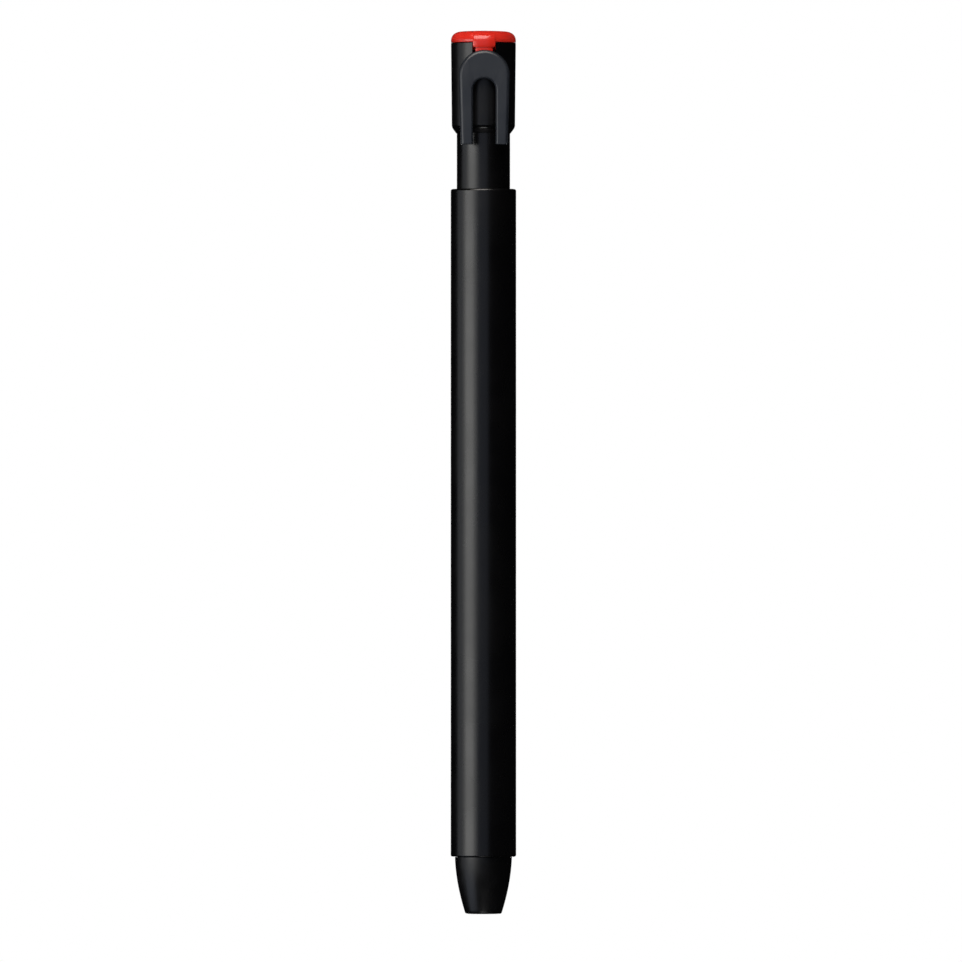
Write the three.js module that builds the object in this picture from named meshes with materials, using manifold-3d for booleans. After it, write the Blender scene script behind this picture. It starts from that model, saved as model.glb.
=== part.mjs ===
// Pen-shaped push-button eraser: a slim barrel with a tapered nose, a spring-return push head
// with a fork clip and a pull-out end plug, and inside it a split chuck that feeds an eraser stick.
// Millimetres, +Z up, tip down. The origin is the centre of the eraser's working face,
// level with the mouth of the nose. The clip faces -Y.
import * as THREE from "three";
import { mergeVertices } from "three/addons/utils/BufferGeometryUtils.js";
import Module from "manifold-3d";

const wasm = await Module();
wasm.setup();

// Eraser stick
const ERASER_RADIUS = 1.9;
const ERASER_LENGTH = 70;
const ERASER_EDGE = 0.25;

// Clearances between neighbouring pieces, measured on the radius or along the axis
const GRIP_CLEARANCE = 0.04; // jaws and keeper to the eraser they hold
const MOUTH_CLEARANCE = 0.2; // nose mouth to the eraser that passes through
const BORE_CLEARANCE = 0.3; // chuck and feed tube bores to the eraser
const PRESS_CLEARANCE = 0.05; // pieces pushed into each other
const SLIDE_CLEARANCE = 0.1; // pieces that slide in each other
const NECK_CLEARANCE = 0.22; // push tube in the barrel
const SEAT_GAP = 0.3; // end faces that meet along the axis

// Split chuck
const CHUCK_WALL = 0.45;
const JAW_FLARE = 0.3;
const JAW_LIP = 1.0;
const JAW_SLIT = 0.5;
const JAW_COUNT = 3;
const JAW_LENGTH = 18;
const JAW_PAD = 4;
const CHUCK_TAIL = 8;
const STOP_ROOM = 1.4;

// Clutch ring and the sleeve that guides it
const RING_WALL = 0.4;
const RING_HEIGHT = 3.6;
const RING_TRAVEL = 2;
const SLEEVE_WALL = 0.45;
const SLEEVE_GUIDE = 7.5;

// Return spring
const SPRING_WIRE = 0.55;
const SPRING_ROOM = 0.25;
const SPRING_LENGTH = 19;
const SPRING_TURNS = 7;
const SPRING_END_TURNS = 1;
const SPRING_END_PITCH = 1.0;

// Push unit
const PUSH_STROKE = 5;
const FEED_TUBE_WALL = 0.7;
const PUSH_TUBE_WALL = 0.62;
const PUSH_TUBE_GUIDE = 20;
const PUSH_TUBE_EDGE = 0.1;
const NECK_EXPOSED = 8.5;

// Barrel
const BARREL_LENGTH = 102;
const BARREL_WALL = 0.71;
const BARREL_EDGE = 0.3;
const RIB_HEIGHT = 1.5;
const RIB_ROOM = 0.2;

// Nose cone and the keeper ring in it
const NOSE_LENGTH = 8.7;
const NOSE_STEP = 0.64;
const NOSE_MOUTH_WALL = 0.7;
const NOSE_MOUTH_EDGE = 0.15;
const NOSE_SWELL = 0.32;
const NOSE_SWELL_UP = 0.25;
const NOSE_COLLAR = 0.7;
const NOSE_BEAD = 0.2;
const NOSE_BEAD_UP = 3;
const KEEPER_UP = 0.5;
const KEEPER_HEIGHT = 2.4;
const KEEPER_WALL = 0.9;
const KEEPER_WAIST = 0.25;
const JAW_ROOM = 0.2;

// Head of the push unit
const HEAD_LENGTH = 13.8;
const HEAD_WALL = 0.71;
const HEAD_DRAFT = 0.128;
const HEAD_CHAMFER = 0.92;
const HEAD_LEDGE = 0.45;
const HEAD_LEDGE_WALL = 0.5;

// Fork clip, with straight sides and a rounded edge round its face
const CLIP_WIDTH = 7.74;
const CLIP_TAPER = 0.27;
const CLIP_ROUND = 0.55;
const CLIP_SLOT = 3.44;
const SLOT_ROUND = 0.36;
const CLIP_LENGTH = 14.4;
const CLIP_BRIDGE = 4.35;
const CLIP_UNDER_LUG = 0.47;
const CLIP_THICKNESS = 1.3;
const CLIP_GAP = 0.55;
const TOE_RADIUS = 0.45;
const TOE_UP = 0.8;
const TOE_DEPTH = 0.15;
const TOE_MARGIN = 0.15;
const TENON_WIDTH = 3.4;
const TENON_HEIGHT = 2.7;
const TENON_DROP = 0.8;
const TENON_CLEARANCE = 0.12;
const FLANGE_LIP = 0.8;
const FLANGE_THICKNESS = 0.6;
const FLEX_ROOM = 0.25;

// End plug
const PLUG_BAND = 0.4;
const PLUG_EDGE_WIDTH = 1.36;
const PLUG_EDGE_HEIGHT = 1.3;
const PLUG_SHOULDER_IN = 0.1;
const PLUG_SHOULDER_UP = 1.1;
const PLUG_CROWN = 0.12;
const PLUG_SKIRT = 1.1;
const PLUG_SKIRT_WALL = 0.6;
const PLUG_WALL = 0.75;
const PLUG_SPIGOT = 6;
const LUG_DEPTH = 0.75;
const LUG_PROUD = 0.25;
const LUG_RISE = 1.0;
const TONGUE_WIDTH = 2.6;
const TONGUE_DROP = 0.95;
const TONGUE_SET = 0.1;

// Facets
const ROUND_FACETS = 40;
const ARC_STEPS = 4;
const WIRE_SIDES = 6;
const STEPS_PER_TURN = 16;
const SAME_POINT = 1e-4; // points closer than this are one point

// Radii, worked out from the eraser outwards
const chuckBore = ERASER_RADIUS + BORE_CLEARANCE;
const stemRadius = chuckBore + CHUCK_WALL;
const gripRadius = ERASER_RADIUS + GRIP_CLEARANCE;
const lipRadius = stemRadius + JAW_FLARE;
const ringRadius = lipRadius + PRESS_CLEARANCE + RING_WALL;
const sleeveChamber = ringRadius + SLIDE_CLEARANCE;
const sleeveRadius = sleeveChamber + SLEEVE_WALL;
const lowerBore = sleeveRadius + PRESS_CLEARANCE;
const springRadius = stemRadius + SPRING_ROOM + SPRING_WIRE / 2;
const ribRadius = springRadius + SPRING_WIRE / 2 + RIB_ROOM;
const feedSocket = stemRadius + PRESS_CLEARANCE;
const feedRadius = feedSocket + FEED_TUBE_WALL;
const pushTubeBore = feedRadius + PRESS_CLEARANCE;
const pushTubeRadius = pushTubeBore + PUSH_TUBE_WALL;
const upperBore = pushTubeRadius + NECK_CLEARANCE;
const barrelRadius = Math.max(upperBore, lowerBore) + BARREL_WALL;
const noseRadius = barrelRadius - NOSE_STEP;
const mouthBore = ERASER_RADIUS + MOUTH_CLEARANCE;
const mouthRadius = mouthBore + NOSE_MOUTH_WALL;
const keeperRadius = gripRadius + KEEPER_WALL;
const keeperSeat = keeperRadius + PRESS_CLEARANCE;
const jawChamber = lipRadius + JAW_ROOM;
const headBore = pushTubeRadius + PRESS_CLEARANCE;
const headFoot = headBore + HEAD_WALL;
const headRim = headFoot + HEAD_DRAFT;
const clipBack = headRim + CLIP_GAP;

// Heights, worked out from the mouth upwards
const barrelFoot = NOSE_LENGTH;
const barrelTop = barrelFoot + BARREL_LENGTH;
const keeperShelf = barrelFoot + KEEPER_UP;
const keeperFoot = keeperShelf + PRESS_CLEARANCE;
const keeperTop = keeperFoot + KEEPER_HEIGHT;
const chuckFoot = keeperTop + PUSH_STROKE + STOP_ROOM;
const ringFoot = chuckFoot + JAW_LIP;
const spigotTop = ringFoot - RING_TRAVEL - SEAT_GAP;
const sleeveFoot = spigotTop + SEAT_GAP;
const chamberTop = ringFoot + RING_HEIGHT + SEAT_GAP;
const sleeveTop = chamberTop + SLEEVE_GUIDE;
const ribFoot = sleeveTop + SEAT_GAP;
const feedFoot = sleeveTop + SPRING_LENGTH;
const chuckTop = feedFoot + CHUCK_TAIL;
const pushTubeFoot = barrelTop - PUSH_TUBE_GUIDE;
const headFootZ = barrelTop + NECK_EXPOSED;
const headRimZ = headFootZ + HEAD_LENGTH;
const clipTop = headRimZ - LUG_DEPTH - CLIP_UNDER_LUG;
const clipFoot = clipTop - CLIP_LENGTH;
const tenonFoot = clipTop - TENON_DROP - TENON_HEIGHT;
const notchFoot = tenonFoot - FLEX_ROOM;
const ledgeTop = notchFoot - PRESS_CLEARANCE;
const ledgeFoot = ledgeTop - HEAD_LEDGE;
const pushTubeTop = ledgeFoot - PRESS_CLEARANCE;

// A surface of revolution about Z from a closed outline of radius and height.
// The outline runs anticlockwise as seen with the radius to the right and Z up.
function turned(draw) {
  const outline = new THREE.Path();
  draw(outline);
  const points = outline.getPoints(ARC_STEPS);
  return new THREE.LatheGeometry(points, ROUND_FACETS).rotateX(Math.PI / 2);
}

// A solid through outlines of equal point counts, each drawn in X and Z at its own Y, front to back.
function lofted(levels) {
  const count = levels[0].points.length;
  const positions = levels.flatMap(({ points, y }) => points.flatMap((point) => [point.x, y, point.y]));
  const triangles = [];
  for (let level = 0; level + 1 < levels.length; level += 1) {
    for (let i = 0; i < count; i += 1) {
      const a = level * count + i;
      const b = level * count + ((i + 1) % count);
      triangles.push(a, a + count, b, b, a + count, b + count);
    }
  }
  const last = (levels.length - 1) * count;
  for (const [i, j, k] of THREE.ShapeUtils.triangulateShape(levels[0].points, [])) {
    triangles.push(i, j, k);
  }
  for (const [i, j, k] of THREE.ShapeUtils.triangulateShape(levels.at(-1).points, [])) {
    triangles.push(last + k, last + j, last + i);
  }
  const geometry = new THREE.BufferGeometry();
  geometry.setAttribute("position", new THREE.Float32BufferAttribute(positions, 3));
  geometry.setIndex(triangles);
  return geometry;
}

// A piece of a ring wall on the clip's side, as wide as given across X.
function wallPiece(inner, outer, width, foot, top) {
  const half = width / 2;
  const front = -Math.PI / 2;
  const outerTurn = Math.asin(half / outer);
  const innerTurn = Math.asin(half / inner);
  const plan = new THREE.Shape();
  plan.absarc(0, 0, outer, front - outerTurn, front + outerTurn, false);
  plan.absarc(0, 0, inner, front + innerTurn, front - innerTurn, true);
  const made = new THREE.ExtrudeGeometry(plan, {
    depth: top - foot,
    bevelEnabled: false,
    curveSegments: ARC_STEPS,
  });
  return made.translate(0, 0, foot);
}

function block(width, depth, height, x, y, z) {
  return new THREE.BoxGeometry(width, depth, height).translate(x, y, z);
}

// A closed geometry as a solid that can be joined and cut.
function solid(geometry) {
  const bare = geometry.clone();
  bare.deleteAttribute("normal");
  bare.deleteAttribute("uv");
  const merged = mergeVertices(bare, SAME_POINT);
  return new wasm.Manifold(
    new wasm.Mesh({
      numProp: 3,
      vertProperties: new Float32Array(merged.attributes.position.array),
      triVerts: new Uint32Array(merged.index.array),
    }),
  );
}

function geometryOf(made) {
  const mesh = made.getMesh();
  const geometry = new THREE.BufferGeometry();
  geometry.setAttribute("position", new THREE.BufferAttribute(mesh.vertProperties, 3));
  geometry.setIndex(new THREE.BufferAttribute(mesh.triVerts, 1));
  geometry.computeVertexNormals();
  return geometry;
}

function plastic(color, roughness) {
  return new THREE.MeshStandardMaterial({ color, roughness, metalness: 0 });
}

function metal(color, roughness) {
  return new THREE.MeshStandardMaterial({ color, roughness, metalness: 1 });
}

// One named sub-part, drawn from its own foot and stood at its height.
function piece(name, geometry, material, foot) {
  const mesh = new THREE.Mesh(geometry, material);
  mesh.name = name;
  mesh.position.z = foot;
  return mesh;
}

// Barrel: a moulded tube with a wide bore for the push tube, an inner rib that stops the sleeve,
// a lower bore for the sleeve and spigot, a snap groove and a counterbore for the nose collar.
function barrel() {
  const counterbore = noseRadius + PRESS_CLEARANCE;
  const counterTop = NOSE_COLLAR + SEAT_GAP;
  const groove = NOSE_BEAD + SLIDE_CLEARANCE;
  const grooveZ = NOSE_COLLAR + NOSE_BEAD_UP;
  const rib = ribFoot - barrelFoot;
  return turned((o) => {
    o.moveTo(counterbore, 0);
    o.lineTo(barrelRadius - BARREL_EDGE, 0);
    o.quadraticCurveTo(barrelRadius, 0, barrelRadius, BARREL_EDGE);
    o.lineTo(barrelRadius, BARREL_LENGTH - BARREL_EDGE);
    o.quadraticCurveTo(barrelRadius, BARREL_LENGTH, barrelRadius - BARREL_EDGE, BARREL_LENGTH);
    o.lineTo(upperBore, BARREL_LENGTH);
    o.lineTo(upperBore, rib + RIB_HEIGHT);
    o.lineTo(ribRadius, rib + RIB_HEIGHT);
    o.lineTo(ribRadius, rib);
    o.lineTo(lowerBore, rib);
    o.lineTo(lowerBore, grooveZ + 2 * groove);
    o.lineTo(lowerBore + groove, grooveZ + groove);
    o.lineTo(lowerBore + groove, grooveZ - groove);
    o.lineTo(lowerBore, grooveZ - 2 * groove);
    o.lineTo(lowerBore, counterTop);
    o.lineTo(counterbore, counterTop);
    o.lineTo(counterbore, 0);
  });
}

// Nose cone: an ogive shell with a collar, a spigot with a snap bead, and stepped bores
// for the eraser, the keeper ring and the jaws.
function noseCone() {
  const collarTop = NOSE_LENGTH + NOSE_COLLAR;
  const beadZ = collarTop + NOSE_BEAD_UP;
  const spigotRadius = lowerBore - PRESS_CLEARANCE;
  const keeperRoof = keeperTop + SEAT_GAP;
  const swellRadius = (mouthRadius + noseRadius) / 2 + 2 * NOSE_SWELL;
  const swellZ = NOSE_LENGTH / 2 + NOSE_SWELL_UP;
  return turned((o) => {
    o.moveTo(mouthBore, 0);
    o.lineTo(mouthRadius - NOSE_MOUTH_EDGE, 0);
    o.lineTo(mouthRadius, NOSE_MOUTH_EDGE);
    o.quadraticCurveTo(swellRadius, swellZ, noseRadius, NOSE_LENGTH);
    o.lineTo(noseRadius, collarTop);
    o.lineTo(spigotRadius, collarTop);
    o.lineTo(spigotRadius, beadZ - 2 * NOSE_BEAD);
    o.lineTo(spigotRadius + NOSE_BEAD, beadZ - NOSE_BEAD);
    o.lineTo(spigotRadius + NOSE_BEAD, beadZ + NOSE_BEAD);
    o.lineTo(spigotRadius, beadZ + 2 * NOSE_BEAD);
    o.lineTo(spigotRadius, spigotTop);
    o.lineTo(jawChamber, spigotTop);
    o.lineTo(jawChamber, keeperRoof);
    o.lineTo(keeperSeat, keeperRoof);
    o.lineTo(keeperSeat, keeperShelf);
    o.lineTo(mouthBore, keeperShelf);
    o.lineTo(mouthBore, 0);
  });
}

// Keeper ring: a soft ring with two lips that hold the eraser while the jaws are open.
function keeperRing() {
  return turned((o) => {
    o.moveTo(gripRadius, 0);
    o.lineTo(keeperRadius, 0);
    o.lineTo(keeperRadius, KEEPER_HEIGHT);
    o.lineTo(gripRadius, KEEPER_HEIGHT);
    o.lineTo(gripRadius + KEEPER_WAIST, KEEPER_HEIGHT / 2);
    o.lineTo(gripRadius, 0);
  });
}

// Eraser stick: an extruded rod with its end edges broken.
function eraserStick() {
  return turned((o) => {
    o.moveTo(0, 0);
    o.lineTo(ERASER_RADIUS - ERASER_EDGE, 0);
    o.lineTo(ERASER_RADIUS, ERASER_EDGE);
    o.lineTo(ERASER_RADIUS, ERASER_LENGTH - ERASER_EDGE);
    o.lineTo(ERASER_RADIUS - ERASER_EDGE, ERASER_LENGTH);
    o.lineTo(0, ERASER_LENGTH);
  });
}

// Chuck: a long sleeve whose lower end is slit into jaws with a flared, tapered head.
function chuck() {
  const length = chuckTop - chuckFoot;
  const body = turned((o) => {
    o.moveTo(gripRadius, 0);
    o.lineTo(lipRadius, 0);
    o.lineTo(lipRadius, JAW_LIP);
    o.lineTo(stemRadius, JAW_LIP + RING_HEIGHT);
    o.lineTo(stemRadius, length);
    o.lineTo(chuckBore, length);
    o.lineTo(chuckBore, JAW_PAD + BORE_CLEARANCE);
    o.lineTo(gripRadius, JAW_PAD);
    o.lineTo(gripRadius, 0);
  });
  let made = solid(body);
  for (let i = 0; i < JAW_COUNT; i += 1) {
    const slit = block(2 * lipRadius, JAW_SLIT, 2 * JAW_LENGTH, lipRadius, 0, 0);
    slit.rotateZ((2 * Math.PI * i) / JAW_COUNT + Math.PI / 2);
    made = made.subtract(solid(slit));
  }
  return geometryOf(made);
}

// Clutch ring: a collar with a tapered bore that closes the jaws when the spring draws them up.
function clutchRing() {
  return turned((o) => {
    o.moveTo(lipRadius + PRESS_CLEARANCE, 0);
    o.lineTo(ringRadius, 0);
    o.lineTo(ringRadius, RING_HEIGHT);
    o.lineTo(stemRadius + PRESS_CLEARANCE, RING_HEIGHT);
    o.lineTo(lipRadius + PRESS_CLEARANCE, 0);
  });
}

// Chuck sleeve: fixed in the barrel, with a chamber for the clutch ring and a guide for the stem.
function chuckSleeve() {
  const chamber = chamberTop - sleeveFoot;
  const length = sleeveTop - sleeveFoot;
  return turned((o) => {
    o.moveTo(sleeveChamber, 0);
    o.lineTo(sleeveRadius, 0);
    o.lineTo(sleeveRadius, length);
    o.lineTo(stemRadius + SLIDE_CLEARANCE, length);
    o.lineTo(stemRadius + SLIDE_CLEARANCE, chamber);
    o.lineTo(sleeveChamber, chamber);
    o.lineTo(sleeveChamber, 0);
  });
}

// The centre line of the spring wire, from its seat on the sleeve to the feed tube above it,
// with closer turns at both ends.
class SpringLine extends THREE.Curve {
  getPoint(t, target = new THREE.Vector3()) {
    const turn = t * (SPRING_TURNS + 2 * SPRING_END_TURNS);
    const foot = SEAT_GAP + SPRING_WIRE / 2;
    const rise = SPRING_LENGTH - 2 * foot;
    const pitch = (rise - 2 * SPRING_END_TURNS * SPRING_END_PITCH) / SPRING_TURNS;
    const activeTurns = Math.min(Math.max(turn - SPRING_END_TURNS, 0), SPRING_TURNS);
    const endTurns = turn - activeTurns;
    const angle = 2 * Math.PI * turn;
    return target.set(
      springRadius * Math.cos(angle),
      springRadius * Math.sin(angle),
      foot + activeTurns * pitch + endTurns * SPRING_END_PITCH,
    );
  }
}

// The wire as rings of points round its centre line, closed by end caps.
function returnSpring() {
  const line = new SpringLine();
  const turns = SPRING_TURNS + 2 * SPRING_END_TURNS;
  const steps = Math.round(turns * STEPS_PER_TURN);
  const radius = SPRING_WIRE / 2;
  const positions = [];
  const triangles = [];
  const up = new THREE.Vector3(0, 0, 1);
  for (let i = 0; i <= steps; i += 1) {
    const centre = line.getPoint(i / steps);
    const outward = new THREE.Vector3(centre.x, centre.y, 0).normalize();
    for (let k = 0; k < WIRE_SIDES; k += 1) {
      const angle = (2 * Math.PI * k) / WIRE_SIDES;
      const point = centre.clone();
      point.addScaledVector(outward, radius * Math.cos(angle));
      point.addScaledVector(up, radius * Math.sin(angle));
      positions.push(point.x, point.y, point.z);
    }
  }
  for (let i = 0; i < steps; i += 1) {
    for (let k = 0; k < WIRE_SIDES; k += 1) {
      const a = i * WIRE_SIDES + k;
      const b = i * WIRE_SIDES + ((k + 1) % WIRE_SIDES);
      triangles.push(a, a + WIRE_SIDES, b, b, a + WIRE_SIDES, b + WIRE_SIDES);
    }
  }
  const last = steps * WIRE_SIDES;
  for (let k = 1; k < WIRE_SIDES - 1; k += 1) {
    triangles.push(0, k, k + 1);
    triangles.push(last, last + k + 1, last + k);
  }
  const geometry = new THREE.BufferGeometry();
  geometry.setAttribute("position", new THREE.Float32BufferAttribute(positions, 3));
  geometry.setIndex(triangles);
  geometry.computeVertexNormals();
  console.log(`return spring: least gap between turns ${springGap(line, steps).toFixed(2)} mm`);
  return geometry;
}

// The least gap between the spring's turns, measured between points at least half a turn apart.
function springGap(line, steps) {
  const points = Array.from({ length: steps + 1 }, (_, i) => line.getPoint(i / steps));
  let least = Infinity;
  for (let i = 0; i < points.length; i += 1) {
    for (let j = i + Math.ceil(STEPS_PER_TURN / 2); j < points.length; j += 1) {
      least = Math.min(least, points[i].distanceTo(points[j]) - SPRING_WIRE);
    }
  }
  return least;
}

// Feed tube: the magazine pipe, socketed over the chuck's tail, that pushes the chuck down.
function feedTube() {
  const length = pushTubeTop - feedFoot;
  const socket = CHUCK_TAIL + SEAT_GAP;
  return turned((o) => {
    o.moveTo(feedSocket, 0);
    o.lineTo(feedRadius, 0);
    o.lineTo(feedRadius, length);
    o.lineTo(chuckBore, length);
    o.lineTo(chuckBore, socket);
    o.lineTo(feedSocket, socket);
    o.lineTo(feedSocket, 0);
  });
}

// Push tube: the neck that shows below the head and slides in the barrel.
function pushTube() {
  const length = pushTubeTop - pushTubeFoot;
  return turned((o) => {
    o.moveTo(pushTubeBore, 0);
    o.lineTo(pushTubeRadius - PUSH_TUBE_EDGE, 0);
    o.lineTo(pushTubeRadius, PUSH_TUBE_EDGE);
    o.lineTo(pushTubeRadius, length - PUSH_TUBE_EDGE);
    o.lineTo(pushTubeRadius - PUSH_TUBE_EDGE, length);
    o.lineTo(pushTubeBore, length);
    o.lineTo(pushTubeBore, 0);
  });
}

// Head shell: a cap with a slight draft, a chamfered foot, an inner ledge that sits on the push tube
// and a notch in its rim for the clip's tenon and the plug's lug.
function headShell() {
  const ledgeBore = headBore - HEAD_LEDGE_WALL;
  const underLedge = ledgeFoot - headFootZ;
  const body = turned((o) => {
    o.moveTo(headBore, 0);
    o.lineTo(headBore + PRESS_CLEARANCE, 0);
    o.lineTo(headFoot, HEAD_CHAMFER);
    o.lineTo(headRim, HEAD_LENGTH);
    o.lineTo(headBore, HEAD_LENGTH);
    o.lineTo(headBore, underLedge + HEAD_LEDGE);
    o.lineTo(ledgeBore, underLedge + HEAD_LEDGE);
    o.lineTo(ledgeBore, underLedge);
    o.lineTo(headBore, underLedge);
    o.lineTo(headBore, 0);
  });
  const notchWidth = TENON_WIDTH + 2 * TENON_CLEARANCE;
  const notchDepth = 2 * headRim - headBore;
  const notchHeight = 2 * (headRimZ - notchFoot);
  const notch = block(notchWidth, notchDepth, notchHeight, 0, -headRim, HEAD_LENGTH);
  return geometryOf(solid(body).subtract(solid(notch)));
}

// The outline of the clip in X and Z: an arch with two legs and a slot that is open at the foot.
function forkOutline(half, halfFoot, slot, top, slotCentre) {
  const outline = new THREE.Shape();
  outline.moveTo(-halfFoot, 0);
  outline.lineTo(-slot, 0);
  outline.lineTo(-slot, slotCentre);
  outline.absarc(0, slotCentre, slot, Math.PI, 0, true);
  outline.lineTo(slot, 0);
  outline.lineTo(halfFoot, 0);
  outline.lineTo(half, top - half);
  outline.absarc(0, top - half, half, 0, Math.PI, false);
  const points = outline.getPoints(ARC_STEPS * 2);
  return points.filter((point, i) => i === 0 || point.distanceTo(points[i - 1]) > SAME_POINT);
}

// Fork clip: a flat arch with two legs, a rounded front edge and an open slot, toes behind the leg
// ends, and a tenon with a flange that hooks behind the head's wall.
function clip() {
  const half = CLIP_WIDTH / 2;
  const halfFoot = half - CLIP_TAPER;
  const slot = CLIP_SLOT / 2;
  const slotCentre = CLIP_LENGTH - CLIP_BRIDGE - slot;
  const eased = 1 - Math.SQRT1_2; // how far the middle of a rounded edge stands in from its corner
  const levels = [1, eased, 0].map((inset, i) => {
    const outer = inset * CLIP_ROUND;
    const inner = inset * SLOT_ROUND;
    const depth = [0, eased, 1][i] * CLIP_ROUND;
    return {
      points: forkOutline(half - outer, halfFoot - outer, slot + inner, CLIP_LENGTH - outer, slotCentre),
      y: -clipBack - CLIP_THICKNESS + depth,
    };
  });
  const plate = lofted([...levels, { points: levels[2].points, y: -clipBack }]);
  const flangeOuter = headBore - FLEX_ROOM;
  const flangeInner = flangeOuter - FLANGE_THICKNESS;
  const flangeWidth = TENON_WIDTH + 2 * FLANGE_LIP;
  const tenonStart = tenonFoot - clipFoot;
  const tenonEnd = tenonStart + TENON_HEIGHT;
  const tenonDepth = clipBack + CLIP_THICKNESS / 2 - flangeInner;
  const tenonY = -flangeInner - tenonDepth / 2;
  const tenon = block(TENON_WIDTH, tenonDepth, TENON_HEIGHT, 0, tenonY, (tenonStart + tenonEnd) / 2);
  const flange = wallPiece(flangeInner, flangeOuter, flangeWidth, tenonStart, tenonEnd);
  let made = solid(plate).add(solid(tenon)).add(solid(flange));
  const toeWidth = halfFoot - slot - 2 * TOE_MARGIN;
  for (const side of [-1, 1]) {
    const toe = new THREE.CylinderGeometry(TOE_RADIUS, TOE_RADIUS, toeWidth, ARC_STEPS * 4);
    toe.rotateZ(Math.PI / 2);
    toe.translate((side * (halfFoot + slot)) / 2, -clipBack - TOE_DEPTH, TOE_UP);
    made = made.add(solid(toe));
  }
  return geometryOf(made);
}

// End plug: a crowned lid with a skirt in the head, a hollow spigot in the feed tube
// and a lug in the head's notch, with a narrower tongue that goes down behind the clip.
function endPlug() {
  const skirtRadius = headBore - PRESS_CLEARANCE;
  const skirtBore = skirtRadius - PLUG_SKIRT_WALL;
  const spigotRadius = chuckBore - PRESS_CLEARANCE;
  const spigotBore = spigotRadius - PLUG_WALL;
  const spigotFoot = pushTubeTop - PLUG_SPIGOT - headRimZ;
  const web = -PLUG_SKIRT / 2;
  const edge = PRESS_CLEARANCE + PLUG_BAND;
  const shoulder = edge + PLUG_SHOULDER_UP;
  const crown = edge + PLUG_EDGE_HEIGHT;
  const crownRadius = headRim - PLUG_EDGE_WIDTH;
  const body = turned((o) => {
    o.moveTo(0, web);
    o.lineTo(spigotBore, web);
    o.lineTo(spigotBore, spigotFoot);
    o.lineTo(spigotRadius, spigotFoot);
    o.lineTo(spigotRadius, web);
    o.lineTo(skirtBore, web);
    o.lineTo(skirtBore, -PLUG_SKIRT);
    o.lineTo(skirtRadius, -PLUG_SKIRT);
    o.lineTo(skirtRadius, PRESS_CLEARANCE);
    o.lineTo(headRim, PRESS_CLEARANCE);
    o.lineTo(headRim, edge);
    o.quadraticCurveTo(headRim - PLUG_SHOULDER_IN, shoulder, crownRadius, crown);
    o.quadraticCurveTo(crownRadius / 2, crown + PLUG_CROWN, 0, crown + PLUG_CROWN);
  });
  const lugFront = headRim + LUG_PROUD;
  const lug = wallPiece(skirtBore, lugFront, TENON_WIDTH, -LUG_DEPTH, LUG_RISE);
  const tongueFoot = -LUG_DEPTH - TONGUE_DROP;
  const tongue = wallPiece(skirtBore, lugFront - TONGUE_SET, TONGUE_WIDTH, tongueFoot, 0);
  return geometryOf(solid(body).add(solid(lug)).add(solid(tongue)));
}

const fixedUnit = new THREE.Group();
fixedUnit.add(
  piece("barrel", barrel(), plastic(0x141517, 0.32), barrelFoot),
  piece("nose_cone", noseCone(), plastic(0x191a1c, 0.4), 0),
  piece("keeper_ring", keeperRing(), plastic(0x6c6f73, 0.8), keeperFoot),
  piece("chuck_sleeve", chuckSleeve(), plastic(0x8f9397, 0.45), sleeveFoot),
  piece("return_spring", returnSpring(), metal(0xb8bbbf, 0.3), sleeveTop),
);

const pushUnit = new THREE.Group();
pushUnit.add(
  piece("chuck", chuck(), plastic(0xe6e3d8, 0.45), chuckFoot),
  piece("feed_tube", feedTube(), plastic(0xd9dcdb, 0.4), feedFoot),
  piece("push_tube", pushTube(), plastic(0x151618, 0.3), pushTubeFoot),
  piece("head_shell", headShell(), plastic(0x18191b, 0.36), headFootZ),
  piece("clip", clip(), plastic(0x1c1d1f, 0.42), clipFoot),
  piece("end_plug", endPlug(), plastic(0xd8322a, 0.3), headRimZ),
);

const penEraser = new THREE.Group();
penEraser.add(
  fixedUnit,
  pushUnit,
  piece("clutch_ring", clutchRing(), metal(0xc8a35a, 0.3), ringFoot),
  piece("eraser_stick", eraserStick(), plastic(0xf3f2ee, 0.75), 0),
);

export default penEraser;
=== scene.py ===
# A pen-shaped push-button eraser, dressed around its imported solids: a slim black barrel with a
# tapered nose, a sprung head with a forked clip, and a red end plug. Sizes are in millimetres.
import math

import bmesh
import bpy
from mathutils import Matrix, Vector


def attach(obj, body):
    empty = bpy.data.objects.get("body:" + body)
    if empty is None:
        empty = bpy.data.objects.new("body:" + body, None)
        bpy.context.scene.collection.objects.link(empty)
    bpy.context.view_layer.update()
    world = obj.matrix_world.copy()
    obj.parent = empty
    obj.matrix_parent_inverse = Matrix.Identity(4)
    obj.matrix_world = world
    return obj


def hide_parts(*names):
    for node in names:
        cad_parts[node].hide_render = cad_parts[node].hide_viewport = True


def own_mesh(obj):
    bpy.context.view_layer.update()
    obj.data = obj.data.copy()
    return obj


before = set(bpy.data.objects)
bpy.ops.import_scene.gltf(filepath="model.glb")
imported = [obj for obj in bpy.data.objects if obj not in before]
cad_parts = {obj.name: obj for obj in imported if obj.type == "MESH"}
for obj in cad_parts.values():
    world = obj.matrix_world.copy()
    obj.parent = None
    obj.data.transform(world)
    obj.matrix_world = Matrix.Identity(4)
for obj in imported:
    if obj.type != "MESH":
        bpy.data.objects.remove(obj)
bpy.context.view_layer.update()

# Camera: level with the pen's middle and a little to its left, far off with a long lens, as the
# photograph was taken. The picture is 962 pixels square and the pen's axis stands just right of centre.
MM = 0.001
PICTURE_PIXELS = 962
PIXEL_SIZE = 0.15277
LENS = 540
SENSOR = 36
VIEW_LEFT = math.radians(1.3)
VIEW_AIM_X = -0.37
VIEW_HEIGHT = 66.1

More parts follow.
